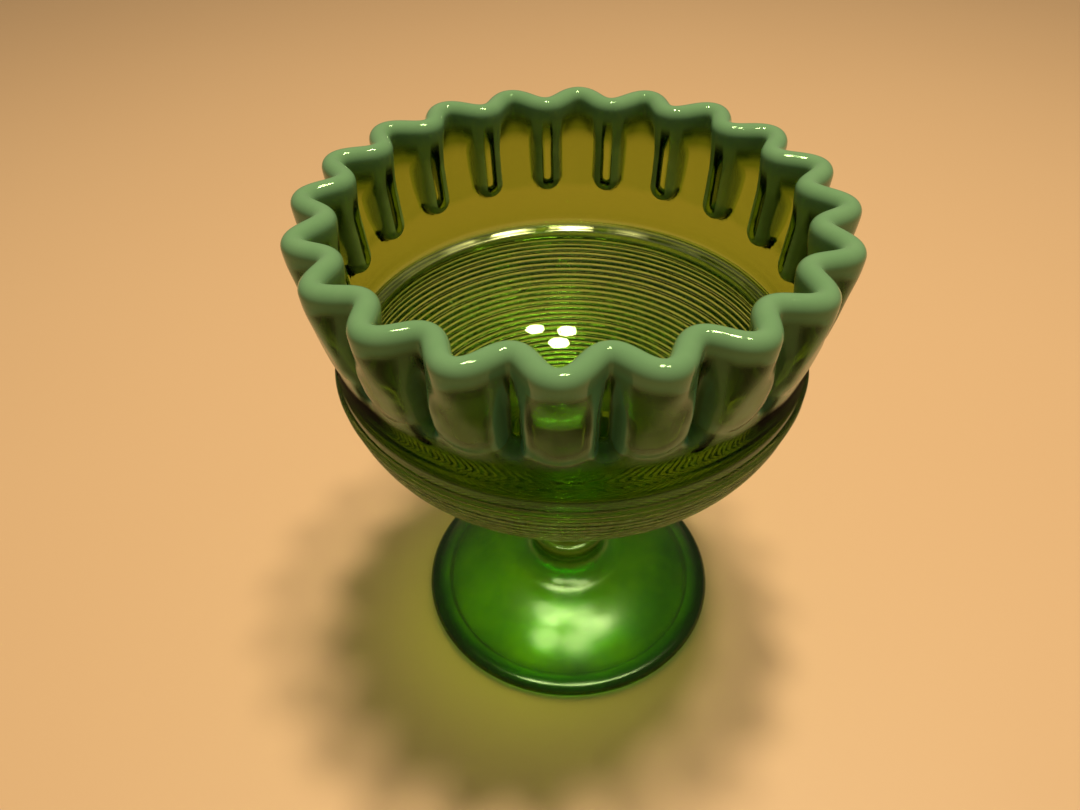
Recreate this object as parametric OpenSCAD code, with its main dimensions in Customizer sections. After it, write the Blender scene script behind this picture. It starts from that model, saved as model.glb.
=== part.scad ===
// Footed glass dish with a threaded bowl and a crimped opal lip.
// Millimetres, +Z up. The origin is the centre of the foot's resting plane.

/* [Bowl] */
// Outer radius of the bare bowl at the shoulder, without the thread
shoulder_r = 54; // [50:0.1:58]
// Height of the shoulder, where the round lower bowl meets the upright wall
shoulder_z = 91.4; // [86:0.1:95]
// Depth of the rounded lower bowl, measured outside from shoulder to underside
bowl_depth = 34.5; // [32:0.5:39]
// Wall thickness of the bowl at the shoulder
wall_t = 3; // [2.4:0.1:3.6]
// Glass thickness at the middle of the bowl's floor
floor_t = 5; // [4:0.5:7]

/* [Crimped wall] */
// Number of flutes pressed round the wall
flutes = 20; // [12:1:24]
// Height at which the flutes begin to stand out of the smooth wall
flute_start_z = 101; // [99:0.1:103]
// Height at which the flutes have their full lower depth
flute_full_z = 108.5; // [107:0.1:110]
// Half of the flutes' in-and-out travel, just above their lower ends
flute_low_depth = 2.2; // [1:0.1:2.6]
// Half of the flutes' in-and-out travel at the lip
flute_lip_depth = 3.2; // [1.5:0.1:4]
// Mean radius of the lip's centre line
lip_mean_r = 53.7; // [52:0.1:56]

/* [Opal lip] */
// Thickness of the rounded lip bead
lip_t = 5; // [3.4:0.1:5.2]
// Overall height of the dish
dish_h = 128.3; // [125:0.1:132]
// Height of the straight part of the lip below the bead's widest level
lip_skirt = 3.2; // [1.5:0.1:4]

/* [Thread winding] */
// Diameter of the wound thread
thread_d = 1.5; // [1.1:0.1:1.6]
// Distance from one turn to the next, along the bowl's surface
thread_pitch = 1.65; // [1.6:0.05:2.2]
// Diameter of the heavier first turn at the shoulder
first_turn_d = 1.7; // [1.5:0.1:2.2]
// Radius at which the last turn lies, close to the collar
last_turn_r = 16; // [16:1:40]

/* [Stem and collar] */
// Radius of the collar under the bowl
collar_r = 13.5; // [12:0.5:14]
// Thickness of the collar
collar_t = 4.5; // [3.5:0.5:6]
// Radius at the waist of the stem
waist_r = 8; // [6.5:0.5:8.5]
// Radius of the rounded knop at the stem's lower end
knop_r = 10.8; // [10.3:0.1:12.5]

/* [Foot] */
// Radius of the foot
foot_r = 41.6; // [38:0.1:46]
// Height of the foot's rounded edge
foot_edge_h = 4.2; // [3.5:0.1:5]
// Height of the foot where the stem stands on it
foot_top_z = 19.5; // [17:0.5:22]
// Radius of the foot's flat top
foot_top_r = 9.5; // [8.5:0.5:10]
// Height of the hollow under the foot
foot_hollow_h = 7; // [3:0.5:8]

/* [Hidden] */

uranium_green = [0.45, 0.62, 0.10, 0.6];
jade_opal = [0.52, 0.74, 0.56];
thread_green = [0.36, 0.46, 0.10, 0.7];
foot_green = [0.12, 0.55, 0.05, 0.75];

round_fn = 96;

function clamp01(x) = min(1, max(0, x));
function ease(x) = let (c = clamp01(x)) c * c * (3 - 2 * c);
function mix(a, b, x) = a + (b - a) * x;
function tanh(x) = let (e = exp(2 * x)) (e - 1) / (e + 1);
function reversed(list) = [for (i = [len(list) - 1 : -1 : 0]) list[i]];

// ---- Rounded lower bowl: an ellipse from the shoulder to the underside ----
curve_steps = 24;
inner_r = shoulder_r - wall_t;
inner_depth = bowl_depth - floor_t;
underside_z = shoulder_z - bowl_depth;
wall_join_z = 96;

function bowl_arc(a, depth) = [
    for (i = [0 : curve_steps])
        let (t = 90 * i / curve_steps) [a * cos(t), shoulder_z - depth * sin(t)]
];
outer_arc = bowl_arc(shoulder_r, bowl_depth);
inner_arc = bowl_arc(inner_r, inner_depth);

// The round space the bowl fills, solid to the axis
bowl_space = concat([[0, wall_join_z], [shoulder_r, wall_join_z]], outer_arc);

// ---- Flutes ----
// The wall's centre line weaves in and out round the dish. Low down the outward
// lobes are wide and the inward folds narrow, with steep sides. At the lip the
// wave is an even one.
wave_steps = 8;
columns = flutes * wave_steps;
column_deg = 360 / columns;
low_steepness = 1.3;
lip_steepness = 0.4;
low_lobe_bias = 0.3;

bead_z = dish_h - lip_t / 2;
lip_base_z = bead_z - lip_skirt;

// How far up the fluted wall a height lies, 0 at the flutes' full depth, 1 at the bead
function rise(z) = clamp01((z - flute_full_z) / (bead_z - flute_full_z));
function wall_rise(z) = ease((z - wall_join_z) / (bead_z - wall_join_z));
function mean_r(z) = mix(shoulder_r - wall_t / 2, lip_mean_r, wall_rise(z));
function depth_at(z) = ease((z - flute_start_z) / (flute_full_z - flute_start_z))
    * mix(flute_low_depth, flute_lip_depth, rise(z));
function half_t(z) = mix(wall_t, lip_t, ease((z - flute_full_z) / (bead_z - flute_full_z))) / 2;
function wave(deg, z) =
    let (k = mix(low_steepness, lip_steepness, rise(z)), b = mix(low_lobe_bias, 0, rise(z)))
    tanh(k * (cos(flutes * deg) + b)) / tanh(k * (1 + b));
function centre_r(deg, z) = mean_r(z) + depth_at(z) * wave(deg, z);

// The wall's face is the edge of a disc of the wall's half thickness rolled along
// the centre line, so a bend keeps its thickness and a tight fold keeps a crease.
reach_steps = 12;
reach_share = 0.98;
function reach(deg, off, z, h, side) =
    let (c = centre_r(deg + off, z), across = c * sin(off))
    c * cos(off) + side * sqrt(max(0, h * h - across * across));
function face_r(deg, z, h, side) =
    let (span = reach_share * asin(min(1, h / (mean_r(z) - depth_at(z)))))
    let (r = [for (i = [-reach_steps : reach_steps]) reach(deg, span * i / reach_steps, z, h, side)])
    side > 0 ? max(r) : min(r);

// One ring of points at height z. shape_z is the height whose wave it follows.
function ring(z, shape_z, h, side) =
    let (one_wave = [for (i = [0 : wave_steps - 1]) face_r(i * column_deg, shape_z, h, side)])
    [for (i = [0 : columns - 1])
        let (r = one_wave[i % wave_steps]) [r * sin(i * column_deg), r * cos(i * column_deg), z]];

// A closed skin over a stack of rings that runs up the outside, over the edge and
// down the inside. The last ring joins the first.
module closed_skin(rings) {
    n = columns;
    m = len(rings);
    points = [for (r = rings) for (p = r) p];
    faces = [
        for (j = [0 : m - 1])
            for (i = [0 : n - 1])
                let (a = j * n + i, b = j * n + (i + 1) % n)
                let (c = ((j + 1) % m) * n + (i + 1) % n, d = ((j + 1) % m) * n + i)
                for (f = [[a, b, c], [a, c, d]]) f
    ];
    polyhedron(points = points, faces = faces, convexity = 10);
}

// ---- Bowl ----
// The fluted wall's lowest ring is buried in the round bowl, a little inside its faces.
join_depth = 1;
join_inset = 0.15;
join_rise = 0.5;
rows_into_flutes = [0.3, 0.55, 0.8];
rows_up_wall = [0.33, 0.67];
wall_rows = concat(
    [wall_join_z - join_depth, wall_join_z + join_rise, flute_start_z],
    [for (u = rows_into_flutes) mix(flute_start_z, flute_full_z, u)],
    [flute_full_z],
    [for (u = rows_up_wall) mix(flute_full_z, lip_base_z, u)],
    [lip_base_z]
);
function inset_at(z) = z < wall_join_z ? join_inset : 0;

module lower_bowl() {
    rotate_extrude($fn = round_fn)
        polygon(concat(
            [[inner_r, wall_join_z], [shoulder_r, wall_join_z]],
            outer_arc,
            reversed(inner_arc)
        ));
}

module fluted_wall() {
    outer = [for (z = wall_rows) ring(z, z, half_t(z) - inset_at(z), 1)];
    inner = [for (z = wall_rows) ring(z, z, half_t(z) - inset_at(z), -1)];
    closed_skin(concat(outer, reversed(inner)));
}

module bowl() {
    color(uranium_green)
        union() {
            lower_bowl();
            fluted_wall();
        }
}

// ---- Opal lip ----
bead_angles = [0, 25, 50, 72];

module opal_lip() {
    half = lip_t / 2;
    rows = concat(
        [[lip_base_z, lip_base_z, half_t(lip_base_z)]],
        [for (a = bead_angles) [bead_z + half * sin(a), bead_z, half * cos(a)]]
    );
    outer = [for (w = rows) ring(w[0], w[1], w[2], 1)];
    inner = [for (w = rows) ring(w[0], w[1], w[2], -1)];
    crest = [for (i = [0 : columns - 1])
        let (deg = i * column_deg, r = centre_r(deg, bead_z)) [r * sin(deg), r * cos(deg), dish_h]];
    color(jade_opal)
        closed_skin(concat(outer, [crest], reversed(inner)));
}

// ---- Thread winding ----
// Turns follow the ellipse of the lower bowl, one pitch apart along its surface.
arc_samples = 240;
thread_fn = 20;
// A turn is drawn this much thinner than its name says, so neighbours never merge
thread_gap = 0.12;

function arc_deg(i) = 90 * i / arc_samples;
function arc_point(t) = [shoulder_r * cos(t), shoulder_z - bowl_depth * sin(t)];
function arc_lengths(i = 0, s = 0, list = []) = i > arc_samples ? list
    : let (step = i == 0 ? 0 : norm(arc_point(arc_deg(i)) - arc_point(arc_deg(i - 1))))
      arc_lengths(i + 1, s + step, concat(list, [s + step]));
lengths = arc_lengths();
deg_by_length = [for (i = [0 : arc_samples]) [lengths[i], arc_deg(i)]];
length_by_deg = [for (i = [0 : arc_samples]) [arc_deg(i), lengths[i]]];

wound_length = lookup(acos(last_turn_r / shoulder_r), length_by_deg);
thread_turns = floor(wound_length / thread_pitch) + 1;
function turn_d(k) = k == 0 ? first_turn_d : thread_d;

module thread_turn(k) {
    p = arc_point(lookup(k * thread_pitch, deg_by_length));
    rotate_extrude($fn = round_fn)
        difference() {
            translate([p[0], p[1]])
                circle(d = turn_d(k) - thread_gap, $fn = thread_fn);
            polygon(bowl_space);
        }
}

module thread_winding() {
    color(thread_green)
        for (k = [0 : thread_turns - 1])
            thread_turn(k);
}

// ---- Collar ----
collar_fn = 32;
collar_top_r = 11;
collar_base_z = underside_z - collar_t;
collar_rim_r = collar_r - collar_t / 2;

module collar() {
    color(foot_green)
        rotate_extrude($fn = round_fn)
            difference() {
                union() {
                    translate([0, collar_base_z])
                        square([collar_rim_r, collar_t]);
                    translate([collar_rim_r, collar_base_z + collar_t / 2])
                        circle(d = collar_t, $fn = collar_fn);
                    translate([0, collar_base_z + collar_t / 2])
                        square([collar_top_r, collar_t]);
                }
                polygon(bowl_space);
            }
}

// ---- Stem ----
// A waisted stem that swells into a rounded knop where it stands on the foot.
stem_steps = 20;
knop_steps = 12;
knop_h = 5.5;
// The waist's ends: the neck above the knop, and the swell under the collar
neck_r = knop_r - 1.5;
top_swell = 0.8;
foot_seat_r = foot_top_r - 0.5;

module stem() {
    knop_top = foot_top_z + knop_h;
    waist = [for (i = [0 : stem_steps])
        let (u = i / stem_steps)
        [
            waist_r + (neck_r - waist_r) * (pow(1 - u, 3) + top_swell * pow(u, 3)),
            mix(knop_top, collar_base_z, u)
        ]];
    knop_side = [for (i = [0 : knop_steps])
        let (t = -90 + 180 * i / knop_steps)
        [foot_seat_r + (knop_r - foot_seat_r) * cos(t), foot_top_z + knop_h / 2 * (1 + sin(t))]];
    color(foot_green)
        rotate_extrude($fn = round_fn)
            polygon(concat([[0, foot_top_z]], knop_side, waist, [[0, collar_base_z]]));
}

// ---- Foot ----
// Top face: a concave flare away from the stem, then a low dome down to a rounded
// edge. Underneath, a shallow hollow inside a flat resting ring.
foot_steps = 14;
edge_steps = 10;
dome_r = 17;
dome_z = 12;
dome_roundness = 1.8;
edge_r = foot_edge_h / 2;
rest_ring_w = 4.9;
rest_inner_r = foot_r - edge_r - rest_ring_w;

module foot() {
    flare = [for (i = [0 : foot_steps])
        let (t = 90 * i / foot_steps)
        [dome_r - (dome_r - foot_top_r) * cos(t), foot_top_z - (foot_top_z - dome_z) * sin(t)]];
    dome_end_r = foot_r - edge_r;
    dome = [for (i = [1 : foot_steps])
        let (u = i / foot_steps)
        [mix(dome_r, dome_end_r, u), mix(dome_z, foot_edge_h, pow(u, dome_roundness))]];
    edge = [for (i = [1 : edge_steps])
        let (t = 90 - 180 * i / edge_steps)
        [dome_end_r + edge_r * cos(t), edge_r + edge_r * sin(t)]];
    hollow = [for (i = [0 : foot_steps])
        let (t = 90 * i / foot_steps)
        [rest_inner_r * cos(t), foot_hollow_h * sin(t)]];
    color(foot_green)
        rotate_extrude($fn = round_fn)
            polygon(concat([[0, foot_top_z]], flare, dome, edge, hollow));
}

bowl();
opal_lip();
thread_winding();
collar();
stem();
foot();
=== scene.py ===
import math

import bmesh
import bpy
import numpy as np
from mathutils import Matrix, Vector


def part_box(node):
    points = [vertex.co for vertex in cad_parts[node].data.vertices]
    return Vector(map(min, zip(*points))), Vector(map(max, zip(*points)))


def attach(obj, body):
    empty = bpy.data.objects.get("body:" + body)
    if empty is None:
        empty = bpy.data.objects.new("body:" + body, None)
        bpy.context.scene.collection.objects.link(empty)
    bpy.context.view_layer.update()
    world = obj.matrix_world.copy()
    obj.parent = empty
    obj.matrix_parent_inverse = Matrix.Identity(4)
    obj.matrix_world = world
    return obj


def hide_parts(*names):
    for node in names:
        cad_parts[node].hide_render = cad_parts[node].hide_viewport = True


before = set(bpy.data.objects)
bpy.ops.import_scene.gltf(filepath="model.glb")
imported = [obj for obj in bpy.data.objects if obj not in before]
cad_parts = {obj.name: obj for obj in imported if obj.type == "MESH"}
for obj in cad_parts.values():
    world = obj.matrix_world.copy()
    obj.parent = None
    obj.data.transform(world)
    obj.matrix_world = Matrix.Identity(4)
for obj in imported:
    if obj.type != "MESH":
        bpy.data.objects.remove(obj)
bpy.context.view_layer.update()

MM = 0.001
SEED = 20
rng = np.random.default_rng(SEED)

# ---------------------------------------------------------------- sizes, in millimetres
BOWL_LO = np.array(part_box("bowl")[0]) / MM
LIP_HI = np.array(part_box("opal_lip")[1]) / MM
COLLAR_LO, COLLAR_HI = np.array(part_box("collar")) / MM
STEM_HI = np.array(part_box("stem")[1]) / MM
FOOT_HI = np.array(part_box("foot")[1]) / MM

# lip and wall
FLUTES = 20
LIP_T = 5.0
BEAD_Z = LIP_HI[2] - LIP_T / 2
LIP_MEAN_R = 53.7
FLUTE_LIP_DEPTH = 3.2
WALL_T = 3.0
CRIMP_T = 2.2

# lower bowl: the lower half of a flattened ball
SHOULDER_R = 54.0
SHOULDER_Z = 91.4
FLOOR_T = 5.0
BOWL_UNDER_Z = BOWL_LO[2]
BOWL_DEPTH = SHOULDER_Z - BOWL_UNDER_Z
INNER_R = SHOULDER_R - WALL_T
INNER_DEPTH = BOWL_DEPTH - FLOOR_T

# ledge inside the shoulder: each step leans by the next tilt, in degrees from upright
LEDGE_W = 2.3
LEDGE_TOP_Z = 92.6
LEDGE_TILTS = (5, 25, 45, 52, 56, 59, 62, 65, 68, 60, 42, 22, 6)
LEDGE_GAP = 0.4
LEDGE_BLEND = 9.0

# band, lobes and folds of the wall
FLUTE_MEAN_R = 52.0
FLUTE_WIDTH = 2 * math.pi * FLUTE_MEAN_R / FLUTES
BAND_TOP_Z = 97.0
BAND_LEAN = 0.07
LOBE_LEAN = 0.213
LOBE_END_Z = 105.6
LOBE_HALF_W = 5.2
LOBE_STEP = 0.8
LOBE_SOFT = 1.2
FOLD_END_Z = 104.3
FOLD_HALF_W = 2.7
FOLD_SIDE_SOFT = 0.40
FOLD_END_SOFT = 0.65
FOLD_LOW_R = 49.0
FOLD_LOW_Z = 105.0
FOLD_RUN = 20.0
CRIMP_RUN = 20.0
LIP_SWELL_Z = 114.5
LIP_WAVE_Z = 113.5
LIP_WAVE_FULL_Z = BEAD_Z - 1.0
LIP_STEEPNESS = 0.55
FLUTE_DEPTH_SPREAD = 0.05
RIM_RISE = 0.16
RIM_RISE_KNOTS = 9
RIM_RISE_FROM_Z = 112.0

# milkiness of the wall, from 0 to 1, with the levels over which it grows
LIP_MILK_OUT_Z = (120.0, 126.8)
FACE_MILK = 0.33
FOLD_MILK = 0.16
FLANK_MILK_OUT = 0.58
MIST_END_Z = 101.3
MIST_END_RISE = 0.6
MIST_END_RUN = 2.4
LIP_MILK_IN_Z = (114.0, 126.0)
LIP_MILK_IN_POWER = 2.2
# painted shade: the folds' inner sides are made milky jade, in place of the dark green their refraction
# shows
FLANK_SHADE_MILK_IN = 0.72
FLANK_SHADE_MILK_IN_Z = (117.0, 126.0)
# and where it lies across the folds, as distances outwards from a fold's edge
FLANK_OUT_AT = (-2.3, -1.4, -0.3, 0.9)
FLANK_IN_AT = (-1.7, -1.1, 0.9, 1.5)
FACE_AT = (-1.0, 0.5)

# wound thread: points of its section are (across, up), as shares of its half width and
# its rise, and the flat underside is buried in the bowl
THREAD_SECTION = ((-1.0, 0.0), (-0.95, 0.12), (-0.78, 0.44), (-0.42, 0.84), (0.0, 1.0),
                  (0.42, 0.84), (0.78, 0.44), (0.95, 0.12), (1.0, 0.0))
THREAD_PITCH = 1.6
THREAD_LAST_R = 14.5
THREAD_HALF_W = 0.8
THREAD_RISE = 0.31
THREAD_BURY = 0.04
THREAD_SPREAD = 0.055
THREAD_TIP = 0.05
THREAD_TAPER_TURNS = 0.12
FIRST_TURN_EXTRA = 1.5
FIRST_TURN_FADE = (0.6, 3.2)

# foot, knop, stem and collar
FOOT_R = FOOT_HI[0]
FOOT_TOP_Z = FOOT_HI[2]
FOOT_EDGE_H = 4.2
FOOT_EDGE_R = FOOT_EDGE_H / 2
REST_W = 4.9
REST_CHAMFER = 0.35
HOLLOW_R = FOOT_R - FOOT_EDGE_R - REST_W
HOLLOW_H = 7.0
DOME_R = 17.0
DOME_Z = 12.0
DOME_CURVE = 1.8
SEAT_R = 9.5
SEAT_TUCK = 0.5
KNOP_R = STEM_HI[0]
KNOP_H = 5.5
KNOP_TOP_Z = FOOT_TOP_Z + KNOP_H
NECK_INSET = 1.5
NECK_R = KNOP_R - NECK_INSET
WAIST_R = 8.0
STEM_UPPER_FLARE = 0.8
STEM_BURY = 0.2
COLLAR_R = COLLAR_HI[0]
COLLAR_BASE_Z = COLLAR_LO[2]
COLLAR_HALF_T = (BOWL_UNDER_Z - COLLAR_BASE_Z) / 2
COLLAR_BURY = 0.05
COLLAR_TOP_RADII = (10.4, 9.0, 7.0, 5.0, 3.0, 1.5, 0.0)

# ---------------------------------------------------------------- fineness of the meshes
COLUMNS_PER_FLUTE = 40
COLUMNS = FLUTES * COLUMNS_PER_FLUTE
FLANK_AT = 0.333
FLANK_SPREAD = 0.045
FLANK_DENSITY = 2.2
WALL_ROW_BANDS = ((96.0, 103.6, 0.8), (104.0, 111.4, 0.25), (111.6, 115.0, 0.5))
LIP_ROWS_FROM_Z = 115.2
LIP_ROWS = 18
LOWER_BOWL_ROWS = 44
BOWL_COARSE_R = 26.0
FLUTE_SAMPLES = 2001
ARC_SAMPLES = 2000
BAND_ROWS = 4
BALL_STEPS = 27
BALL_STEPS_Z = 11
FEWEST_COLUMNS = 20
THREAD_STEPS_PER_TURN = 180
WOBBLE_EVERY = 12
SWELL_EVERY = 4
FOOT_COLUMNS = 256
FOOT_COARSE_R = 7.0
DOME_STEPS = 29
STEM_STEPS = 18
FAR = 1e9
TINY = 1e-6


# ---------------------------------------------------------------- small helpers
def mix(a, b, x):
    return a + (b - a) * x


def ease(x):
    """0 below 0, 1 above 1, and a smooth S between them."""
    c = np.clip(x, 0.0, 1.0)
    return c * c * (3.0 - 2.0 * c)


def ramp_up(value, start, end):
    """0 at start, 1 at end and a smooth S between them; start may lie above end."""
    return ease((value - start) / (end - start))


def plateau(value, a, b, c, d):
    """0 up to a, 1 from b to c and 0 again from d on, with smooth slopes between."""
    return ramp_up(value, a, b) * ramp_up(value, d, c)


def new_object(name, verts_mm, faces, material):
    """A smooth-shaded mesh object whose faces all point outwards."""
    mesh = bpy.data.meshes.new(name)
    mesh.from_pydata([tuple(v) for v in np.asarray(verts_mm) * MM], [], faces)
    solid = bmesh.new()
    solid.from_mesh(mesh)
    if solid.calc_volume(signed=True) < 0:
        bmesh.ops.reverse_faces(solid, faces=solid.faces)
    solid.to_mesh(mesh)
    solid.free()
    mesh.update()
    mesh.polygons.foreach_set("use_smooth", [True] * len(mesh.polygons))
    mesh.materials.append(material)
    obj = bpy.data.objects.new(name, mesh)
    bpy.context.scene.collection.objects.link(obj)
    return obj


class Rings:
    """Builds one closed skin from a stack of rings, whose counts may halve or double."""

    def __init__(self):
        self.verts = []
        self.faces = []
        self.last = None
        self.total = 0

    def add(self, points):
        points = np.asarray(points, float)
        ring = list(range(self.total, self.total + len(points)))
        self.verts.append(points)
        self.total += len(points)
        if self.last is not None:
            self.stitch(self.last, ring)
        self.last = ring

    def stitch(self, a, b):
        na, nb = len(a), len(b)
        if na == 1:
            self.faces += [(a[0], b[(i + 1) % nb], b[i]) for i in range(nb)]
        elif nb == 1:
            self.faces += [(a[i], a[(i + 1) % na], b[0]) for i in range(na)]
        elif na == nb:
            self.faces += [(a[i], a[(i + 1) % na], b[(i + 1) % nb], b[i]) for i in range(na)]
        elif na == 2 * nb:
            for i in range(nb):
                j = (i + 1) % nb
                self.faces.append((a[2 * i], a[2 * i + 1], b[i]))
                self.faces.append((a[2 * i + 1], a[(2 * i + 2) % na], b[j], b[i]))
        elif nb == 2 * na:
            for i in range(na):
                j = (i + 1) % na
                self.faces.append((a[i], b[2 * i + 1], b[2 * i]))
                self.faces.append((a[i], a[j], b[(2 * i + 2) % nb], b[2 * i + 1]))
        else:
            raise ValueError("ring counts must match or differ by two times")

    def data(self):
        return np.concatenate(self.verts), self.faces


def ring_count(r, most, coarse_r):
    """Points on a ring of radius r: half as many within coarse_r, and half again each
    time the radius halves."""
    count = most
    while r < coarse_r and count > FEWEST_COLUMNS and count % 2 == 0:
        count //= 2
        coarse_r /= 2
    return count


def polar(theta, r, z):
    """Points at the angles theta, measured from +Y towards +X."""
    return np.stack([r * np.sin(theta), r * np.cos(theta), np.broadcast_to(z, theta.shape)], 1)


def arc(centre, half_w, half_h, start, end, steps):
    """Outline points (r, z) along part of an ellipse, between two angles in degrees."""
    turn = np.radians(np.linspace(start, end, steps + 1))
    return [(centre[0] + half_w * math.cos(t), centre[1] + half_h * math.sin(t)) for t in turn]


# ---------------------------------------------------------------- node helpers
GLASS_IOR = 1.5
CLEAR_ROUGHNESS = 0.02


def feed(tree, socket, value):
    """Links a socket to another node's output, or sets it to a number or a colour."""
    if isinstance(value, bpy.types.NodeSocket):
        tree.links.new(value, socket)
    elif socket.type == "RGBA":
        socket.default_value = (*value, 1.0)
    else:
        socket.default_value = value


def new_material(name):
    mat = bpy.data.materials.new(name)
    mat.use_nodes = True
    tree = mat.node_tree
    tree.nodes.clear()
    out = tree.nodes.new("ShaderNodeOutputMaterial")
    bsdf = tree.nodes.new("ShaderNodeBsdfPrincipled")
    tree.links.new(bsdf.outputs["BSDF"], out.inputs["Surface"])
    return mat, tree, bsdf, out


def math_node(tree, operation, a, b, clamp=False):
    n = tree.nodes.new("ShaderNodeMath")
    n.operation = operation
    n.use_clamp = clamp
    feed(tree, n.inputs[0], a)
    feed(tree, n.inputs[1], b)
    return n.outputs[0]


def multiply(tree, a, b, clamp=False):
    return math_node(tree, "MULTIPLY", a, b, clamp)


def object_coords(tree):
    return tree.nodes.new("ShaderNodeTexCoord").outputs["Object"]


def level_of(tree, coords):
    """The height of the shaded point, in metres."""
    split = tree.nodes.new("ShaderNodeSeparateXYZ")
    tree.links.new(coords, split.inputs["Vector"])
    return split.outputs["Z"]


def distance_from_axis(tree, coords):
    """How far the shaded point is from the dish's axis, in metres."""
    flat = tree.nodes.new("ShaderNodeVectorMath")
    flat.operation = "MULTIPLY"
    flat.inputs[1].default_value = (1.0, 1.0, 0.0)
    tree.links.new(coords, flat.inputs[0])
    span = tree.nodes.new("ShaderNodeVectorMath")
    span.operation = "LENGTH"
    tree.links.new(flat.outputs["Vector"], span.inputs[0])
    return span.outputs["Value"]


def noise_node(tree, coords, scale, detail, roughness, stretch=None):
    if stretch is not None:
        mapping = tree.nodes.new("ShaderNodeMapping")
        mapping.inputs["Scale"].default_value = stretch
        tree.links.new(coords, mapping.inputs["Vector"])
        coords = mapping.outputs["Vector"]
    n = tree.nodes.new("ShaderNodeTexNoise")
    n.inputs["Scale"].default_value = scale
    n.inputs["Detail"].default_value = detail
    n.inputs["Roughness"].default_value = roughness
    tree.links.new(coords, n.inputs["Vector"])
    return n.outputs["Fac"]


def map_range(tree, value, lo, hi, out_lo=0.0, out_hi=1.0, smooth=False):
    """Takes lo to out_lo and hi to out_hi, and holds those values beyond them."""
    n = tree.nodes.new("ShaderNodeMapRange")
    n.clamp = True
    if smooth:
        n.interpolation_type = "SMOOTHSTEP"
    n.inputs["From Min"].default_value = lo
    n.inputs["From Max"].default_value = hi
    n.inputs["To Min"].default_value = out_lo
    n.inputs["To Max"].default_value = out_hi
    tree.links.new(value, n.inputs["Value"])
    return n.outputs["Result"]


def between(tree, place, ends_mm):
    """0 at the first of two places and 1 at the second; both are in millimetres."""
    return map_range(tree, place, ends_mm[0] * MM, ends_mm[1] * MM)


def mix_color(tree, fac, a, b):
    n = tree.nodes.new("ShaderNodeMix")
    n.data_type = "RGBA"
    feed(tree, n.inputs[0], fac)
    feed(tree, n.inputs[6], a)
    feed(tree, n.inputs[7], b)
    return n.outputs[2]


def mix_value(tree, fac, a, b):
    n = tree.nodes.new("ShaderNodeMix")
    n.data_type = "FLOAT"
    feed(tree, n.inputs[0], fac)
    feed(tree, n.inputs[2], a)
    feed(tree, n.inputs[3], b)
    return n.outputs[0]


def bump(tree, bsdf, height, strength, distance_mm):
    n = tree.nodes.new("ShaderNodeBump")
    n.inputs["Strength"].default_value = strength
    n.inputs["Distance"].default_value = distance_mm * MM
    tree.links.new(height, n.inputs["Height"])
    tree.links.new(n.outputs["Normal"], bsdf.inputs["Normal"])


def mark(tree, name):
    """One of the values stored on the mesh's points."""
    attribute = tree.nodes.new("ShaderNodeAttribute")
    attribute.attribute_name = name
    return attribute.outputs["Fac"]


def back_face(tree):
    """1 where the skin is seen from within the glass, and 0 from outside it."""
    return tree.nodes.new("ShaderNodeNewGeometry").outputs["Backfacing"]


def glass_volume(tree, out, color, density):
    volume = tree.nodes.new("ShaderNodeVolumeAbsorption")
    feed(tree, volume.inputs["Color"], color)
    volume.inputs["Density"].default_value = density
    tree.links.new(volume.outputs["Volume"], out.inputs["Volume"])


def mix_shader(tree, fac, a, b):
    n = tree.nodes.new("ShaderNodeMixShader")
    tree.links.new(fac, n.inputs[0])
    tree.links.new(a, n.inputs[1])
    tree.links.new(b, n.inputs[2])
    return n.outputs["Shader"]


def from_outside(tree, share):
    """share where the skin is seen from outside, and 0 where it is seen from within."""
    return map_range(tree, back_face(tree), 0.0, 1.0, share, 0.0)


def still_glass(tree, bsdf, share, tint):
    """Lets that share of the light through the skin without a mirror image, so that
    clear glass doesn't look veiled by the pale floor."""
    bend = tree.nodes.new("ShaderNodeBsdfRefraction")
    feed(tree, bend.inputs["Color"], tint)
    bend.inputs["IOR"].default_value = GLASS_IOR
    bend.inputs["Roughness"].default_value = CLEAR_ROUGHNESS
    return mix_shader(tree, share, bsdf.outputs["BSDF"], bend.outputs["BSDF"])


def let_lamps_through(tree, out, shader, tint):
    """Glass whose shadow has a colour: the lamps' shadow rays pass it, dyed by tint."""
    path = tree.nodes.new("ShaderNodeLightPath")
    dye = tree.nodes.new("ShaderNodeBsdfTransparent")
    feed(tree, dye.inputs["Color"], tint)
    either = mix_shader(tree, path.outputs["Is Shadow Ray"], shader, dye.outputs["BSDF"])
    tree.links.new(either, out.inputs["Surface"])


# ---------------------------------------------------------------- bowl and lip: material
# colours of the glass, from clear at the bottom to jade at the lip
CLEAR_TINT = (0.97, 0.98, 0.88)
WALL_TINT = (0.68, 0.68, 0.25)
HAZE = (0.46, 0.54, 0.13)
MILKY = (0.190, 0.270, 0.055)
MILKY_OUT = (0.185, 0.330, 0.120)
JADE = (0.145, 0.290, 0.130)
JADE_PALE = (0.190, 0.345, 0.165)
# painted light: a lighter, yellower jade for the lip's inner face, lifting the shade there
JADE_IN_PAINTED_LIGHT = (0.270, 0.420, 0.095)
JADE_LOW = (0.095, 0.265, 0.125)
SEED_DARK = (0.02, 0.02, 0.015)
# painted reflection: the pale mirror colour of the ledge's gleam
PAINTED_LEDGE_GLEAM = (0.78, 0.88, 0.38)
BOWL_GLOSS = (0.45, 0.75, 0.35)
BOWL_ABSORB = (0.55, 0.74, 0.25)
BOWL_DENSITY = 450.0
BOWL_SHADE = (0.27, 0.28, 0.12)
JADE_SHADE = (0.05, 0.08, 0.03)

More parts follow.
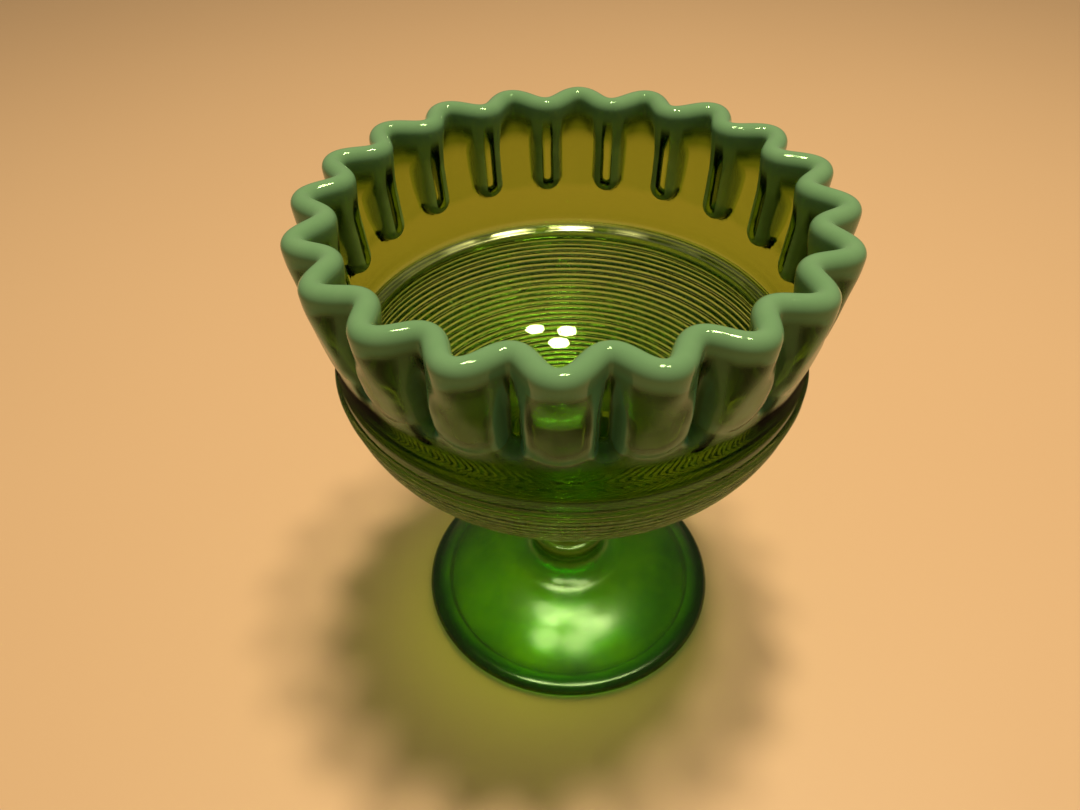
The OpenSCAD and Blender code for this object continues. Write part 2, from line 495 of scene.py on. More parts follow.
# each pair of levels runs from none to all of its effect, in millimetres
WALL_TINT_LEVELS = (86.0, 94.0)
STILL_LEVELS = (93.2, 94.2)
BEHIND_LEVELS = (121.5, 118.5)
JADE_IN_PAINTED_LIGHT_LEVELS = (126.2, 122.5)
JADE_LOW_LEVELS = (126.2, 123.8)
MIST_ROUGH_LEVELS = (124.5, 122.5)

# how milky the glass is where each look begins, and where it is complete
MISTY_AT = (0.0, 0.08)
MILKY_AT = (0.12, 0.45)
JADE_AT = (0.45, 0.85)
OPAQUE_AT = (0.05, 0.88)
SHADE_AT = (0.1, 0.7)
WANDER_AT = (0.0, 0.2)
SEEDLESS_AT = (0.3, 0.5)

WANDER_NOISE = (0.25, 0.75)
DRIFT_WANDER = (-0.06, 0.06)
STREAK_WANDER = (-0.05, 0.05)
JADE_STREAKS = (0.45, 0.75, 0.0, 0.35)
MIST_FROM_BEHIND = 0.25
MIST_ASLANT = 1.05
ASLANT_AT = (0.30, 0.70)
SEED_CELLS = 75.0
SEED_EDGE = (0.022, 0.035)
SEED_PICK = 0.90
JADE_ROUGHNESS = 0.06
MIST_ROUGHNESS = 0.20
LEDGE_ROUGHNESS = 0.24
LEDGE_METALLIC = 0.40
BOWL_STILL_SHARE = 0.95


def bowl_milk(tree, coords, level, outside, streak):
    """How milky the glass looks at each point, from 0 to 1."""
    opal = mark(tree, "opal")
    drift = noise_node(tree, coords, scale=90.0, detail=3.0, roughness=0.55)
    wander = math_node(tree, "ADD",
                       map_range(tree, drift, *WANDER_NOISE, *DRIFT_WANDER),
                       map_range(tree, streak, *WANDER_NOISE, *STREAK_WANDER))
    wander = multiply(tree, wander, map_range(tree, opal, *WANDER_AT))
    milk = math_node(tree, "ADD", opal, wander, clamp=True)
    # the skin of mist on the outer face hardly shows from behind, through the glass
    behind = multiply(tree, back_face(tree), outside)
    behind = multiply(tree, behind, between(tree, level, BEHIND_LEVELS))
    milk = multiply(tree, milk, map_range(tree, behind, 0.0, 1.0, 1.0, MIST_FROM_BEHIND))
    # and it looks thicker where it is seen from the side
    facing = tree.nodes.new("ShaderNodeLayerWeight").outputs["Facing"]
    aslant = map_range(tree, facing, *ASLANT_AT, 0.0, MIST_ASLANT, smooth=True)
    aslant = multiply(tree, aslant, outside)
    return multiply(tree, milk, math_node(tree, "ADD", aslant, 1.0), clamp=True)


def jade_color(tree, level, outside, streak):
    """The opal lip: yellower inside and painted lighter there, to lift the shade on the inner face, and
    darker on the outer face just below the bead.
    """
    jade = mix_color(tree, map_range(tree, streak, *JADE_STREAKS), JADE, JADE_PALE)
    # painted light: below the crest the inner face gets the lighter, yellower jade that lifts its shade
    inside = math_node(tree, "SUBTRACT", 1.0, outside)
    inside = multiply(tree, inside, between(tree, level, JADE_IN_PAINTED_LIGHT_LEVELS))
    jade = mix_color(tree, inside, jade, JADE_IN_PAINTED_LIGHT)
    low_bead = multiply(tree, outside, between(tree, level, JADE_LOW_LEVELS))
    return mix_color(tree, low_bead, jade, JADE_LOW)


def bowl_color(tree, level, outside, streak, milk, hint):
    """Clear, misty, milky and jade glass, in that order as the milk grows."""
    up_wall = between(tree, level, WALL_TINT_LEVELS)
    clear = mix_color(tree, up_wall, CLEAR_TINT, WALL_TINT)
    misty = mix_color(tree, hint, clear, mix_color(tree, up_wall, CLEAR_TINT, HAZE))
    deep = map_range(tree, milk, *MILKY_AT, smooth=True)
    milky = mix_color(tree, deep, misty, mix_color(tree, outside, MILKY, MILKY_OUT))
    solid = map_range(tree, milk, *JADE_AT, smooth=True)
    return mix_color(tree, solid, milky, jade_color(tree, level, outside, streak))


def dark_seeds(tree, coords, milk):
    """1 at a few tiny specks trapped in the clear glass, and 0 elsewhere."""
    cells = tree.nodes.new("ShaderNodeTexVoronoi")
    cells.inputs["Scale"].default_value = SEED_CELLS
    tree.links.new(coords, cells.inputs["Vector"])
    pick = tree.nodes.new("ShaderNodeSeparateColor")
    tree.links.new(cells.outputs["Color"], pick.inputs["Color"])
    near = map_range(tree, cells.outputs["Distance"], *SEED_EDGE, 1.0, 0.0)
    chosen = math_node(tree, "GREATER_THAN", pick.outputs["Red"], SEED_PICK)
    speck = multiply(tree, near, chosen)
    return multiply(tree, speck, map_range(tree, milk, *SEEDLESS_AT, 1.0, 0.0))


def bowl_roughness(tree, level, outside, hint, ledge):
    misted = multiply(tree, outside, between(tree, level, MIST_ROUGH_LEVELS))
    opal = mix_value(tree, misted, JADE_ROUGHNESS, MIST_ROUGHNESS)
    rough = mix_value(tree, hint, CLEAR_ROUGHNESS, opal)
    return mix_value(tree, ledge, rough, LEDGE_ROUGHNESS)


def bowl_material():
    mat, tree, bsdf, out = new_material("opal_rim_uranium_glass")
    coords = object_coords(tree)
    level = level_of(tree, coords)
    outside = mark(tree, "outside")
    ledge = mark(tree, "ledge")
    streak = noise_node(tree, coords, scale=160.0, detail=2.0, roughness=0.5, stretch=(1.0, 1.0, 0.22))
    milk = bowl_milk(tree, coords, level, outside, streak)
    hint = map_range(tree, milk, *MISTY_AT)
    body = bowl_color(tree, level, outside, streak, milk, hint)
    base = mix_color(tree, dark_seeds(tree, coords, milk), body, SEED_DARK)
    feed(tree, bsdf.inputs["Base Color"], mix_color(tree, ledge, base, PAINTED_LEDGE_GLEAM))
    # painted reflection: the ledge gets a pale, partly metallic mirror colour, standing in for the light
    # that the thick first turn behind it throws back
    feed(tree, bsdf.inputs["Metallic"], multiply(tree, ledge, LEDGE_METALLIC))
    feed(tree, bsdf.inputs["Roughness"], bowl_roughness(tree, level, outside, hint, ledge))
    through = map_range(tree, milk, *OPAQUE_AT, 1.0, 0.0, smooth=True)
    feed(tree, bsdf.inputs["Transmission Weight"], through)
    feed(tree, bsdf.inputs["IOR"], GLASS_IOR)
    feed(tree, bsdf.inputs["Specular Tint"], BOWL_GLOSS)
    ripple = noise_node(tree, coords, scale=45.0, detail=2.0, roughness=0.5, stretch=(1.0, 1.0, 1.6))
    bump(tree, bsdf, ripple, strength=0.25, distance_mm=0.25)
    glass_volume(tree, out, BOWL_ABSORB, BOWL_DENSITY)
    # the floor of the bowl keeps its mirror images of the lamps
    share = multiply(tree, through, between(tree, level, STILL_LEVELS))
    share = multiply(tree, from_outside(tree, BOWL_STILL_SHARE), share)
    front = still_glass(tree, bsdf, share, body)
    shade = mix_color(tree, map_range(tree, milk, *SHADE_AT), BOWL_SHADE, JADE_SHADE)
    let_lamps_through(tree, out, front, shade)
    return mat


# ---------------------------------------------------------------- thread: material
THREAD_PALE = (0.92, 0.96, 0.70)
THREAD_DEEP = (0.78, 0.86, 0.45)
THREAD_GLOSS = (0.55, 0.80, 0.35)
THREAD_ABSORB = (0.35, 0.82, 0.05)
THREAD_DENSITY = 300.0
THREAD_SHADE = (0.76, 0.80, 0.45)
THREAD_STILL_TINT = (0.98, 0.99, 0.92)
THREAD_STILL_SHARE = 0.5
THREAD_GRIT_LEVELS = (89.5, 87.5)
THREAD_ROUGHNESS = (0.03, 0.30)
THREAD_TRANSMISSION = (1.0, 0.80)


def thread_material():
    mat, tree, bsdf, out = new_material("thread_glass_drawn")
    coords = object_coords(tree)
    grain = noise_node(tree, coords, scale=420.0, detail=3.0, roughness=0.6)
    tint = mix_color(tree, map_range(tree, grain, 0.3, 0.7), THREAD_PALE, THREAD_DEEP)
    feed(tree, bsdf.inputs["Base Color"], tint)
    # the first turns are clean glass and the turns below them are gritty
    low = between(tree, level_of(tree, coords), THREAD_GRIT_LEVELS)
    gritty = multiply(tree, low, map_range(tree, grain, 0.35, 0.75))
    feed(tree, bsdf.inputs["Roughness"], mix_value(tree, gritty, *THREAD_ROUGHNESS))
    feed(tree, bsdf.inputs["Transmission Weight"], mix_value(tree, gritty, *THREAD_TRANSMISSION))
    feed(tree, bsdf.inputs["IOR"], GLASS_IOR)
    feed(tree, bsdf.inputs["Specular Tint"], THREAD_GLOSS)
    bump(tree, bsdf, grain, strength=0.5, distance_mm=0.12)
    glass_volume(tree, out, THREAD_ABSORB, THREAD_DENSITY)
    front = still_glass(tree, bsdf, from_outside(tree, THREAD_STILL_SHARE), THREAD_STILL_TINT)
    let_lamps_through(tree, out, front, THREAD_SHADE)
    return mat


# ---------------------------------------------------------------- foot: material
FOOT_BRIGHT = (0.30, 0.48, 0.003)
FOOT_DEEP = (0.12, 0.26, 0.001)
# painted shade: a dark green for the foot's outer rim, where its rounded edge lies in shade
FOOT_RIM_SHADE = (0.03, 0.08, 0.001)
FOOT_GLOSS = (0.75, 1.0, 0.50)
FOOT_ABSORB = (0.76, 0.92, 0.02)
FOOT_DENSITY = 420.0
FOOT_SHADE = (0.16, 0.42, 0.03)
FOOT_TRANSMISSION = 0.95
FOOT_RIM_SHADE_RADII = (35.5, 38.8)
FOOT_CLOUDS = (0.35, 0.65)
FOOT_ROUGHNESS = (0.16, 0.26)
FOOT_GRAIN = (0.3, 0.7, -0.008, 0.012)


def foot_material():
    mat, tree, bsdf, out = new_material("foot_glass_satin_emerald")
    coords = object_coords(tree)
    cloud = noise_node(tree, coords, scale=55.0, detail=4.0, roughness=0.6)
    fine = noise_node(tree, coords, scale=1100.0, detail=3.0, roughness=0.6)
    tint = mix_color(tree, map_range(tree, cloud, *FOOT_CLOUDS), FOOT_BRIGHT, FOOT_DEEP)
    # painted shade: the base colour darkens over the foot's outer rim
    edge = between(tree, distance_from_axis(tree, coords), FOOT_RIM_SHADE_RADII)
    feed(tree, bsdf.inputs["Base Color"], mix_color(tree, edge, tint, FOOT_RIM_SHADE))
    rough = math_node(tree, "ADD",
                      map_range(tree, cloud, *FOOT_CLOUDS, *FOOT_ROUGHNESS),
                      map_range(tree, fine, *FOOT_GRAIN))
    feed(tree, bsdf.inputs["Roughness"], rough)
    feed(tree, bsdf.inputs["Transmission Weight"], FOOT_TRANSMISSION)
    feed(tree, bsdf.inputs["Specular Tint"], FOOT_GLOSS)
    feed(tree, bsdf.inputs["IOR"], GLASS_IOR)
    bump(tree, bsdf, fine, strength=0.35, distance_mm=0.06)
    glass_volume(tree, out, FOOT_ABSORB, FOOT_DENSITY)
    let_lamps_through(tree, out, bsdf.outputs["BSDF"], FOOT_SHADE)
    return mat


# ---------------------------------------------------------------- floor: material
FLOOR_DEEP = (0.70, 0.46, 0.24)
FLOOR_PALE = (0.74, 0.50, 0.27)
FLOOR_ROUGHNESS = 0.55


def floor_material():
    mat, tree, bsdf, out = new_material("pale_floor")
    soft = noise_node(tree, object_coords(tree), scale=3.0, detail=3.0, roughness=0.5)
    feed(tree, bsdf.inputs["Base Color"], mix_color(tree, soft, FLOOR_DEEP, FLOOR_PALE))
    feed(tree, bsdf.inputs["Roughness"], FLOOR_ROUGHNESS)
    return mat


# ---------------------------------------------------------------- bowl and lip: shape
def column_angles():
    """Angles of the wall's columns, closer together on the steep sides of the folds."""
    at = np.linspace(0.0, 1.0, FLUTE_SAMPLES)
    crowd = sum(np.exp(-((at - side) / FLANK_SPREAD) ** 2) for side in (FLANK_AT, 1 - FLANK_AT))
    total = np.concatenate([[0.0], np.cumsum(1.0 + FLANK_DENSITY * (crowd[1:] + crowd[:-1]) / 2)])
    share = np.interp(np.arange(COLUMNS_PER_FLUTE) / COLUMNS_PER_FLUTE, total / total[-1], at)
    flute = 2 * math.pi / FLUTES
    return np.concatenate([(k + share) * flute for k in range(FLUTES)])


def lobe_across(theta):
    """Distance along the wall from the middle of the nearest lobe."""
    phase = theta * FLUTES / (2 * math.pi)
    return (phase - np.round(phase)) * FLUTE_WIDTH


def fold_across(theta):
    """Distance along the wall from the middle of the nearest fold."""
    phase = theta * FLUTES / (2 * math.pi) - 0.5
    return (phase - np.round(phase)) * FLUTE_WIDTH


def half_thickness(z):
    """Half the wall's thickness: it thins up the wall and swells to the lip's bead."""
    crimp = mix(WALL_T, CRIMP_T, np.clip((z - SHOULDER_Z) / CRIMP_RUN, 0.0, 1.0))
    return mix(crimp, LIP_T, ramp_up(z, LIP_SWELL_Z, BEAD_Z)) / 2


def u_distance(across, z, end_z, half_w):
    """Distance to the edge of an upright U-ended form: negative inside it."""
    below = np.minimum(z - end_z - half_w, 0.0)
    return np.sqrt(across * across + below * below) - half_w


def fold_amount(theta, z):
    """1 in a fold, 0 outside it: steep sides and a round lower end, like a pressed slot."""
    across = fold_across(theta)
    below = np.maximum(FOLD_END_Z + FOLD_HALF_W - z, 0.0)
    down = below / np.maximum(np.hypot(across, below), TINY)
    dist = u_distance(across, z, FOLD_END_Z, FOLD_HALF_W)
    return 0.5 - 0.5 * np.tanh(dist / mix(FOLD_SIDE_SOFT, FOLD_END_SOFT, down))


def lobe_amount(theta, z):
    """1 on a lobe, 0 below and beside it, with a round lower end."""
    dist = u_distance(lobe_across(theta), z, LOBE_END_Z, LOBE_HALF_W)
    return 0.5 - 0.5 * np.tanh(dist / LOBE_SOFT)


def wall_centre(theta, z, depth):
    """Radius of the middle of the wall: a smooth band low down, lobes and deep narrow
    folds above it, and an even wave at the lip."""
    band = SHOULDER_R - half_thickness(z) + BAND_LEAN * np.maximum(z - BAND_TOP_Z, 0.0)
    lean = LOBE_STEP + (LOBE_LEAN - BAND_LEAN) * np.maximum(z - LOBE_END_Z, 0.0)
    lobe_r = band + lobe_amount(theta, z) * lean
    fold_r = mix(FOLD_LOW_R, LIP_MEAN_R - FLUTE_LIP_DEPTH, np.clip((z - FOLD_LOW_Z) / FOLD_RUN, 0, 1))
    low = lobe_r - (lobe_r - fold_r) * fold_amount(theta, z) * depth
    even = np.tanh(LIP_STEEPNESS * np.cos(theta * FLUTES)) / math.tanh(LIP_STEEPNESS)
    high = LIP_MEAN_R + FLUTE_LIP_DEPTH * even * depth
    return mix(low, high, ramp_up(z, LIP_WAVE_Z, LIP_WAVE_FULL_Z))


def round_the_dish(theta, knots):
    """1 plus the knots' values, which are spread evenly and run smoothly round the dish."""
    at = theta / (2 * math.pi) * len(knots)
    i = np.floor(at).astype(int)
    return 1.0 + mix(knots[i % len(knots)], knots[(i + 1) % len(knots)], ease(at - i))


def wall_faces(theta, rows_z, depths):
    """Outer and inner radius grids: the skins of a ball of the wall's half thickness
    rolled over the centre surface, so bends keep their thickness."""
    tt, zz = np.meshgrid(theta, rows_z)
    outer = np.full(tt.shape, -FAR)
    inner = np.full(tt.shape, FAR)
    here = half_thickness(zz)
    for along in np.linspace(-1.0, 1.0, BALL_STEPS):
        turn = along * here / SHOULDER_R
        for share in np.linspace(-1.0, 1.0, BALL_STEPS_Z):
            z = np.minimum(zz + share * here, BEAD_Z)
            centre = wall_centre(tt + turn, z, round_the_dish(tt + turn, depths))
            gap = half_thickness(z) ** 2 - (z - zz) ** 2 - (centre * np.sin(turn)) ** 2
            reach = np.sqrt(np.maximum(gap, 0.0))
            level = centre * np.cos(turn)
            outer = np.where(gap > 0, np.maximum(outer, level + reach), outer)
            inner = np.where(gap > 0, np.minimum(inner, level - reach), inner)
    return outer, inner


def lip_face(theta, depths, half, side):
    """One face of the lip's bead, at the level where its half thickness is half."""
    best = np.full(COLUMNS, -side * FAR)
    for turn in np.linspace(-half, half, BALL_STEPS) / SHOULDER_R:
        centre = wall_centre(theta + turn, np.full(COLUMNS, BEAD_Z), round_the_dish(theta + turn, depths))
        gap = half * half - (centre * math.sin(turn)) ** 2
        edge = centre * math.cos(turn) + side * np.sqrt(np.maximum(gap, 0.0))
        edge = np.where(gap >= 0, edge, -side * FAR)
        best = np.maximum(best, edge) if side > 0 else np.minimum(best, edge)
    return best


def outer_milk(theta, z):
    """Milkiness of the outer face: full at the lip, and a mist down to the ends of the
    lobes that is thickest along the folds' sides."""
    lobe = 0.5 + 0.5 * np.cos(theta * FLUTES)
    dist = u_distance(fold_across(theta), z, FOLD_END_Z, FOLD_HALF_W)
    on_flank = plateau(dist, *FLANK_OUT_AT)
    mist = mix(mix(FOLD_MILK, FACE_MILK, ramp_up(dist, *FACE_AT)), FLANK_MILK_OUT, on_flank)
    end_z = MIST_END_Z + MIST_END_RISE * (1 - lobe)
    mist = mist * ramp_up(z, end_z, end_z + MIST_END_RUN)
    return np.clip(np.maximum(ramp_up(z, *LIP_MILK_OUT_Z), mist), 0.0, 1.0)


def inner_milk(theta, z):
    """Milkiness of the inner face: it fades slowly below the lip, but the folds' sides
    stay milky to their lower ends, as painted shade: opaque jade in place of the dark green those sides
    show by refraction."""
    dist = u_distance(fold_across(theta), z, FOLD_END_Z, FOLD_HALF_W)
    flank = plateau(dist, *FLANK_IN_AT)
    lip = ramp_up(z, *LIP_MILK_IN_Z) ** LIP_MILK_IN_POWER
    # painted shade: milk on the folds' inner sides that stands in for their dark look
    on_flank = mix(FLANK_SHADE_MILK_IN, 1.0, ramp_up(z, *FLANK_SHADE_MILK_IN_Z))
    return np.clip(mix(lip, np.maximum(lip, on_flank), flank), 0.0, 1.0)


def ellipse_rows(a, depth):
    """Rows (r, z) of a lower bowl, from its pole up to the shoulder."""
    t = np.radians(np.linspace(90.0, 0.0, LOWER_BOWL_ROWS + 1))
    return [(a * math.cos(x), SHOULDER_Z - depth * math.sin(x)) for x in t]


def ledge_rows():
    """The sloping ledge inside the shoulder, where the thick lower bowl begins."""
    tilts = np.radians(LEDGE_TILTS)
    step = LEDGE_W / np.sin(tilts).sum()
    r = INNER_R - np.cumsum(step * np.sin(tilts))
    z = LEDGE_TOP_Z - np.cumsum(step * np.cos(tilts))
    return list(zip(r, z))


def inner_bowl_rows():
    """The inside of the lower bowl, from the ledge's foot down to the floor."""
    foot_r, foot_z = ledge_rows()[-1]
    rows = []
    for r, z in ellipse_rows(INNER_R, INNER_DEPTH)[:0:-1]:
        if z < foot_z - LEDGE_GAP:
            close = ramp_up(z, foot_z - LEDGE_BLEND, foot_z)
            rows.append((min(r, mix(r, foot_r, close)), z))
    return rows


def build_bowl(material):
    """Bowl and lip as one skin: up the outside, over the bead and down the inside."""
    theta = column_angles()
    depths = rng.normal(0.0, FLUTE_DEPTH_SPREAD, FLUTES)
    rim_rise = RIM_RISE * (round_the_dish(theta, rng.normal(0.0, 1.0, RIM_RISE_KNOTS)) - 1.0)
    rows_z = np.concatenate([np.arange(*band) for band in WALL_ROW_BANDS]
                            + [np.linspace(LIP_ROWS_FROM_Z, BEAD_Z, LIP_ROWS)])
    lift = ramp_up(rows_z, RIM_RISE_FROM_Z, BEAD_Z)
    band_z = SHOULDER_Z + np.arange(1.0, BAND_ROWS + 1)
    outer, inner = wall_faces(theta, rows_z, depths)
    skin = Rings()
    marks = {"opal": [], "ledge": [], "outside": []}

    def add(points, opal=0.0, ledge=0.0, outside=0.0):
        skin.add(points)
        for name, value in (("opal", opal), ("ledge", ledge), ("outside", outside)):
            marks[name].append(np.broadcast_to(value, (len(points),)))

    def add_lathed(r, z, ledge=0.0):
        few = theta[::COLUMNS // ring_count(r, COLUMNS // 2, BOWL_COARSE_R)]
        add(polar(few, np.full(len(few), r), z), ledge=ledge)

    def add_bead(angle, side):
        r = lip_face(theta, depths, LIP_T / 2 * math.cos(angle), side)
        z = BEAD_Z + LIP_T / 2 * math.sin(angle) + rim_rise
        add(polar(theta, r, z), 1.0, outside=max(side, 0))

    add([[0, 0, BOWL_UNDER_Z]])
    for r, z in ellipse_rows(SHOULDER_R, BOWL_DEPTH)[1:]:
        add_lathed(r, z)
    for z in band_z:
        add(polar(theta, np.full(COLUMNS, SHOULDER_R), z), outer_milk(theta, z), outside=1.0)
    for r, z, up in zip(outer, rows_z, lift):
        add(polar(theta, r, z + rim_rise * up), outer_milk(theta, z), outside=1.0)
    bead_angles = np.radians(np.arange(10, 90, 10))
    for angle in bead_angles:
        add_bead(angle, 1)
    crest = wall_centre(theta, np.full(COLUMNS, BEAD_Z), round_the_dish(theta, depths))
    add(polar(theta, crest, BEAD_Z + LIP_T / 2 + rim_rise), 1.0)
    for angle in bead_angles[::-1]:
        add_bead(angle, -1)
    for r, z, up in zip(inner[::-1], rows_z[::-1], lift[::-1]):
        add(polar(theta, r, z + rim_rise * up), inner_milk(theta, z))
    for z in band_z[:0:-1]:
        add(polar(theta, np.full(COLUMNS, INNER_R), z), inner_milk(theta, z))
    for r, z in ledge_rows():
        add_lathed(r, z, ledge=1.0)
    for r, z in inner_bowl_rows():
        add_lathed(r, z)
    add([[0, 0, SHOULDER_Z - INNER_DEPTH]])
    verts, faces = skin.data()
    obj = new_object("bowl_with_opal_lip", verts, faces, material)
    for name, values in marks.items():
        layer = obj.data.attributes.new(name, "FLOAT", "POINT")
        layer.data.foreach_set("value", np.concatenate(values).astype(np.float32))
    return obj


# ---------------------------------------------------------------- thread: shape
def bowl_arc_table():
    """Length down the bowl's outside from the shoulder, with the radius, level and
    ellipse angle at each length."""
    t = np.linspace(0.0, math.pi / 2, ARC_SAMPLES)
    r = SHOULDER_R * np.cos(t)
    z = SHOULDER_Z - BOWL_DEPTH * np.sin(t)
    s = np.concatenate([[0.0], np.cumsum(np.hypot(np.diff(r), np.diff(z)))])
    return s, r, z, t


def random_run(count, every):
    """count random values: one drawn at every so many steps and straight lines between."""
    at = np.arange(0, count - 1 + every, every)
    return np.interp(np.arange(count), at, rng.normal(0, THREAD_SPREAD, len(at)))


def build_thread(material):
    """One spiral thread from the shoulder down: a round-backed strip laid on the bowl,
    heavier in its first turns."""
    s_table, r_table, z_table, t_table = bowl_arc_table()
    turns = np.interp(-THREAD_LAST_R, -r_table, s_table) / THREAD_PITCH
    count = int(turns * THREAD_STEPS_PER_TURN)
    k = np.arange(count + 1) / THREAD_STEPS_PER_TURN
    middle = k * THREAD_PITCH + random_run(count + 1, WOBBLE_EVERY)
    swell = 1 + random_run(count + 1, SWELL_EVERY)
    heavy = 1.0 + FIRST_TURN_EXTRA * (1 - ramp_up(k, *FIRST_TURN_FADE))
    taper = mix(THREAD_TIP, 1.0, ease(np.minimum(k, turns - k) / THREAD_TAPER_TURNS))
    theta = 2 * math.pi * k
    verts = []
    for across, up in THREAD_SECTION:
        s = middle + across * THREAD_HALF_W * taper
        below = np.maximum(s, 0.0)
        r = np.interp(below, s_table, r_table)
        z = np.interp(below, s_table, z_table) - np.minimum(s, 0.0)
        t = np.interp(below, s_table, t_table)
        out_r, out_z = BOWL_DEPTH * np.cos(t), -SHOULDER_R * np.sin(t)
        height = (up * THREAD_RISE * heavy * swell * taper - THREAD_BURY) / np.hypot(out_r, out_z)
        verts.append(polar(theta, r + out_r * height, z + out_z * height))
    points = np.stack(verts, 1).reshape(-1, 3)
    per = len(THREAD_SECTION)
    faces = []
    for i in range(count):
        a, b = i * per, (i + 1) * per
        for j in range(per):
            m = (j + 1) % per
            faces.append((a + j, a + m, b + m, b + j))
    faces.append(tuple(range(per - 1, -1, -1)))
    faces.append(tuple(count * per + j for j in range(per)))
    return new_object("wound_glass_thread", points, faces, material)


# ---------------------------------------------------------------- stem and foot: shape
def foot_outline():
    """From the top of the hollow beneath, across the resting ring and up to the knop."""
    edge_at = FOOT_R - FOOT_EDGE_R
    line = [(0.0, HOLLOW_H)] + arc((0.0, 0.0), HOLLOW_R, HOLLOW_H, 90, 0, steps=24)[1:]
    line += [(HOLLOW_R + REST_CHAMFER, 0.0), (HOLLOW_R + REST_W / 2, 0.0), (edge_at, 0.0)]
    line += arc((edge_at, FOOT_EDGE_R), FOOT_EDGE_R, FOOT_EDGE_R, -90, 90, steps=15)[1:]
    for u in np.linspace(1.0, 0.0, DOME_STEPS + 1)[1:]:
        line.append((mix(DOME_R, edge_at, u), mix(DOME_Z, FOOT_EDGE_H, u ** DOME_CURVE)))
    return line + arc((DOME_R, FOOT_TOP_Z), SEAT_R - DOME_R, DOME_Z - FOOT_TOP_Z, 90, 0, steps=12)[1:]


def stem_outline():
    """The round knop, and the waisted stem up to the collar."""
    tuck_r = SEAT_R - SEAT_TUCK
    line = arc((tuck_r, FOOT_TOP_Z + KNOP_H / 2), KNOP_R - tuck_r, KNOP_H / 2, -90, 90, steps=16)[1:-1]
    for u in np.linspace(0.0, 1.0, STEM_STEPS + 1):
        flare = (1 - u) ** 3 + STEM_UPPER_FLARE * u ** 3
        line.append((mix(WAIST_R, NECK_R, flare), mix(KNOP_TOP_Z, COLLAR_BASE_Z - STEM_BURY, u)))
    return line


def collar_outline():
    """The collar's round edge, and its top, which follows the bowl's underside."""
    middle = (COLLAR_R - COLLAR_HALF_T, COLLAR_BASE_Z + COLLAR_HALF_T)
    line = arc(middle, COLLAR_HALF_T, COLLAR_HALF_T, -90, 90, steps=14)
    for r in COLLAR_TOP_RADII:
        under = SHOULDER_Z - BOWL_DEPTH * math.sqrt(1 - (r / SHOULDER_R) ** 2)
        line.append((r, under + COLLAR_BURY))
    return line


def build_pedestal(material):
    """Collar, stem, knop and foot, drawn as one turned body with a hollow beneath."""
    skin = Rings()
    for r, z in foot_outline() + stem_outline() + collar_outline():
        count = ring_count(r, FOOT_COLUMNS, FOOT_COARSE_R)
        theta = np.arange(count) * 2 * math.pi / count
        skin.add([[0, 0, z]] if r == 0.0 else polar(theta, np.full(count, r), z))
    verts, faces = skin.data()
    return new_object("foot_and_stem", verts, faces, material)


# ---------------------------------------------------------------- stage: millimetres and degrees
CAMERA_AT = (4.98, -158.65, 213.08)
CAMERA_AIM = (-6.48, -11.59, 80.0)
CAMERA_ROLL = -1.32
CAMERA_LENS = 28.22
CAMERA_SENSOR = 36.0
CAMERA_NEAREST = 5.0
CAMERA_FARTHEST = 50000.0

FLOOR_SIDE = 6000.0
FLOOR_DROP = 0.05

CEILING_Z = 950.0
LAMP_AIM = (0.0, 0.0, 70.0)
WARM = (1.0, 0.84, 0.62)
PALE = (1.0, 0.95, 0.75)
ROOM_COLOR = (1.0, 0.86, 0.66)
ROOM_STRENGTH = 0.18
CEILING_LAMPS = {"lamp_right": (163, 55), "lamp_middle": (10, 60), "lamp_back": (40, 165)}
CEILING_LAMP_SIZE = 90.0
CEILING_LAMP_WATTS = 2.85
SOFT_KEY_AT = (50, 120)
SOFT_KEY_SIZE = 600.0
SOFT_KEY_WATTS = 0.8
FOOT_LAMPS = ((-110, 40), (110, 40), (270, 40))
FOOT_LAMP_SIZE = 100.0
FOOT_LAMP_WATTS = 1.0
FOOT_GLOWS = ((-8, -12), (-12, -36), (4, -12), (7, -38), (17, -25))
FOOT_GLOW_Z = 52.0
FOOT_GLOW_SIZE = 18.0
FOOT_GLOW_WATTS = 0.009


def build_camera():
    cam = bpy.data.objects.new("camera", bpy.data.cameras.new("camera"))
    bpy.context.scene.collection.objects.link(cam)
    cam.data.sensor_width = CAMERA_SENSOR
    cam.data.lens = CAMERA_LENS
    cam.data.clip_start = CAMERA_NEAREST * MM
    cam.data.clip_end = CAMERA_FARTHEST * MM
    at, aim = Vector(CAMERA_AT) * MM, Vector(CAMERA_AIM) * MM
    turn = (aim - at).to_track_quat("-Z", "Y").to_matrix().to_4x4()
    cam.matrix_world = Matrix.Translation(at) @ turn @ Matrix.Rotation(math.radians(CAMERA_ROLL), 4, "Z")
    bpy.context.scene.camera = cam


def build_floor(material):
    bpy.ops.mesh.primitive_plane_add(size=FLOOR_SIDE * MM, location=(0, 0, -FLOOR_DROP * MM))
    floor = bpy.context.object
    floor.name = "floor"
    floor.data.materials.append(material)


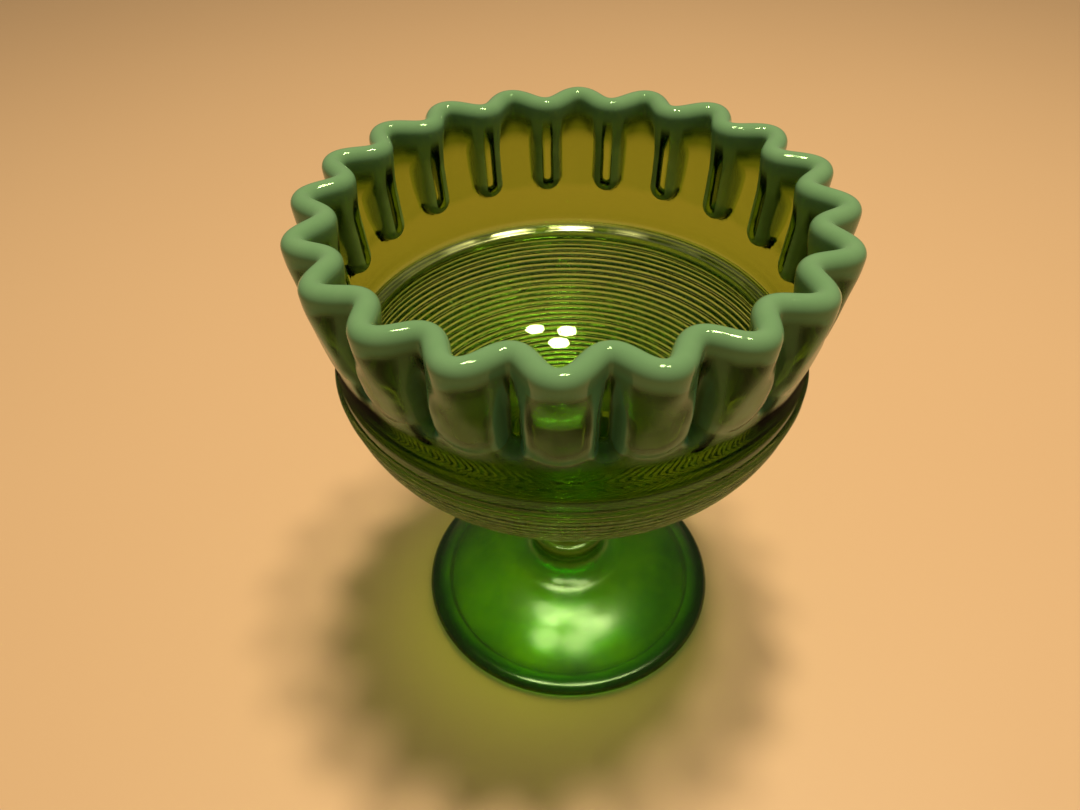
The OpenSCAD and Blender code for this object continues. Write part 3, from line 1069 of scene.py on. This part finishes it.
def area_light(name, at, size, watts, color, aim=LAMP_AIM):
    data = bpy.data.lights.new(name, "AREA")
    data.shape = "DISK"
    data.size = size * MM
    data.energy = watts
    data.color = color
    lamp = bpy.data.objects.new(name, data)
    bpy.context.scene.collection.objects.link(lamp)
    lamp.location = Vector(at) * MM
    lamp.rotation_mode = "QUATERNION"
    lamp.rotation_quaternion = (Vector(aim) - Vector(at)).to_track_quat("-Z", "Y")
    return lamp


def build_room_lights():
    for name, (x, y) in CEILING_LAMPS.items():
        area_light(name, (x, y, CEILING_Z), CEILING_LAMP_SIZE, CEILING_LAMP_WATTS, WARM)
    key = area_light("soft_key", (*SOFT_KEY_AT, CEILING_Z), SOFT_KEY_SIZE, SOFT_KEY_WATTS, WARM)
    key.visible_glossy = False
    world = bpy.data.worlds.new("room")
    world.use_nodes = True
    world.node_tree.nodes["Background"].inputs["Color"].default_value = (*ROOM_COLOR, 1.0)
    world.node_tree.nodes["Background"].inputs["Strength"].default_value = ROOM_STRENGTH
    bpy.context.scene.world = world


def build_foot_lights(pedestal):
    """Lamps that light only the foot and stem: they stand for the light that the bowl
    focuses there."""
    only_foot = bpy.data.collections.new("foot_light_only")
    only_foot.objects.link(pedestal)
    lamps = [area_light(f"foot_lamp_{i}", (x, y, CEILING_Z), FOOT_LAMP_SIZE, FOOT_LAMP_WATTS, PALE)
             for i, (x, y) in enumerate(FOOT_LAMPS)]
    lamps += [area_light(f"foot_glow_{i}", (x, y, FOOT_GLOW_Z), FOOT_GLOW_SIZE, FOOT_GLOW_WATTS, PALE,
                         aim=(x, y, 0.0))
              for i, (x, y) in enumerate(FOOT_GLOWS)]
    for lamp in lamps:
        lamp.visible_camera = False
        lamp.light_linking.receiver_collection = only_foot
        lamp.light_linking.blocker_collection = only_foot


def main():
    build_camera()
    bowl = build_bowl(bowl_material())
    thread = build_thread(thread_material())
    pedestal = build_pedestal(foot_material())
    for piece, slot, nodes in (
        (bowl, "bowl_glass", ("bowl", "opal_lip")),
        (thread, "thread_glass", ("thread_winding",)),
        (pedestal, "foot_glass", ("collar", "stem", "foot")),
    ):
        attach(piece, "root")
        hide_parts(*nodes)
    build_floor(floor_material())
    build_room_lights()
    build_foot_lights(pedestal)
    scene = bpy.context.scene
    scene.view_settings.view_transform = "Standard"
    scene.view_settings.exposure = 0.0


main()
